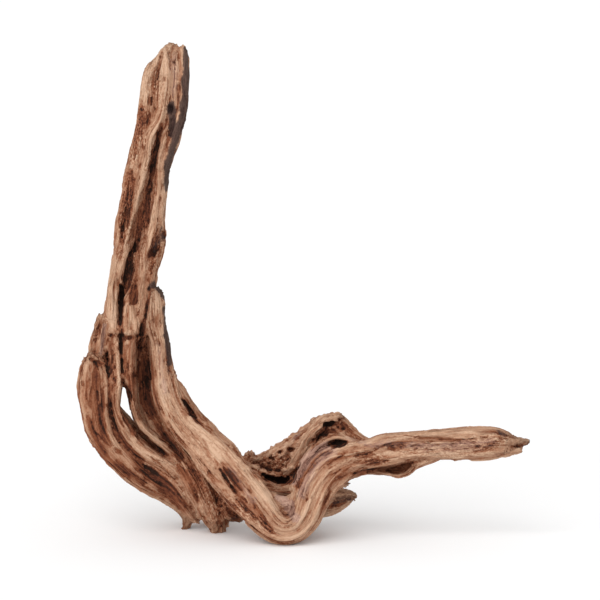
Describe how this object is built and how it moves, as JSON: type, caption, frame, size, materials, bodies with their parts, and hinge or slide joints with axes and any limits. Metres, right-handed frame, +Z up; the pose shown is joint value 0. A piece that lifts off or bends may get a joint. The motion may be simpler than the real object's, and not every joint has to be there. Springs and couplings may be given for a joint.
{
  "type": "piece of driftwood",
  "caption": "Twisted, weathered driftwood with a tall split arm, a hollow ribboned body, a tight elbow and a long pointed side arm.",
  "frame": {"origin": "on the surface that the wood stands on, under the middle of its bounding box", "axes": "+Z up, +X along the straight side arm towards its pointed tip, +Y from the elbow at the front to the feet at the back"},
  "size_m": [0.5439, 0.171, 0.586],
  "materials": {
    "weathered_wood": "dry weathered bare wood, matte, with dark red-brown hollows and near-black patches"
  },
  "bodies": {
    "root": {"driftwood": "weathered_wood"}
  },
  "joints": []
}
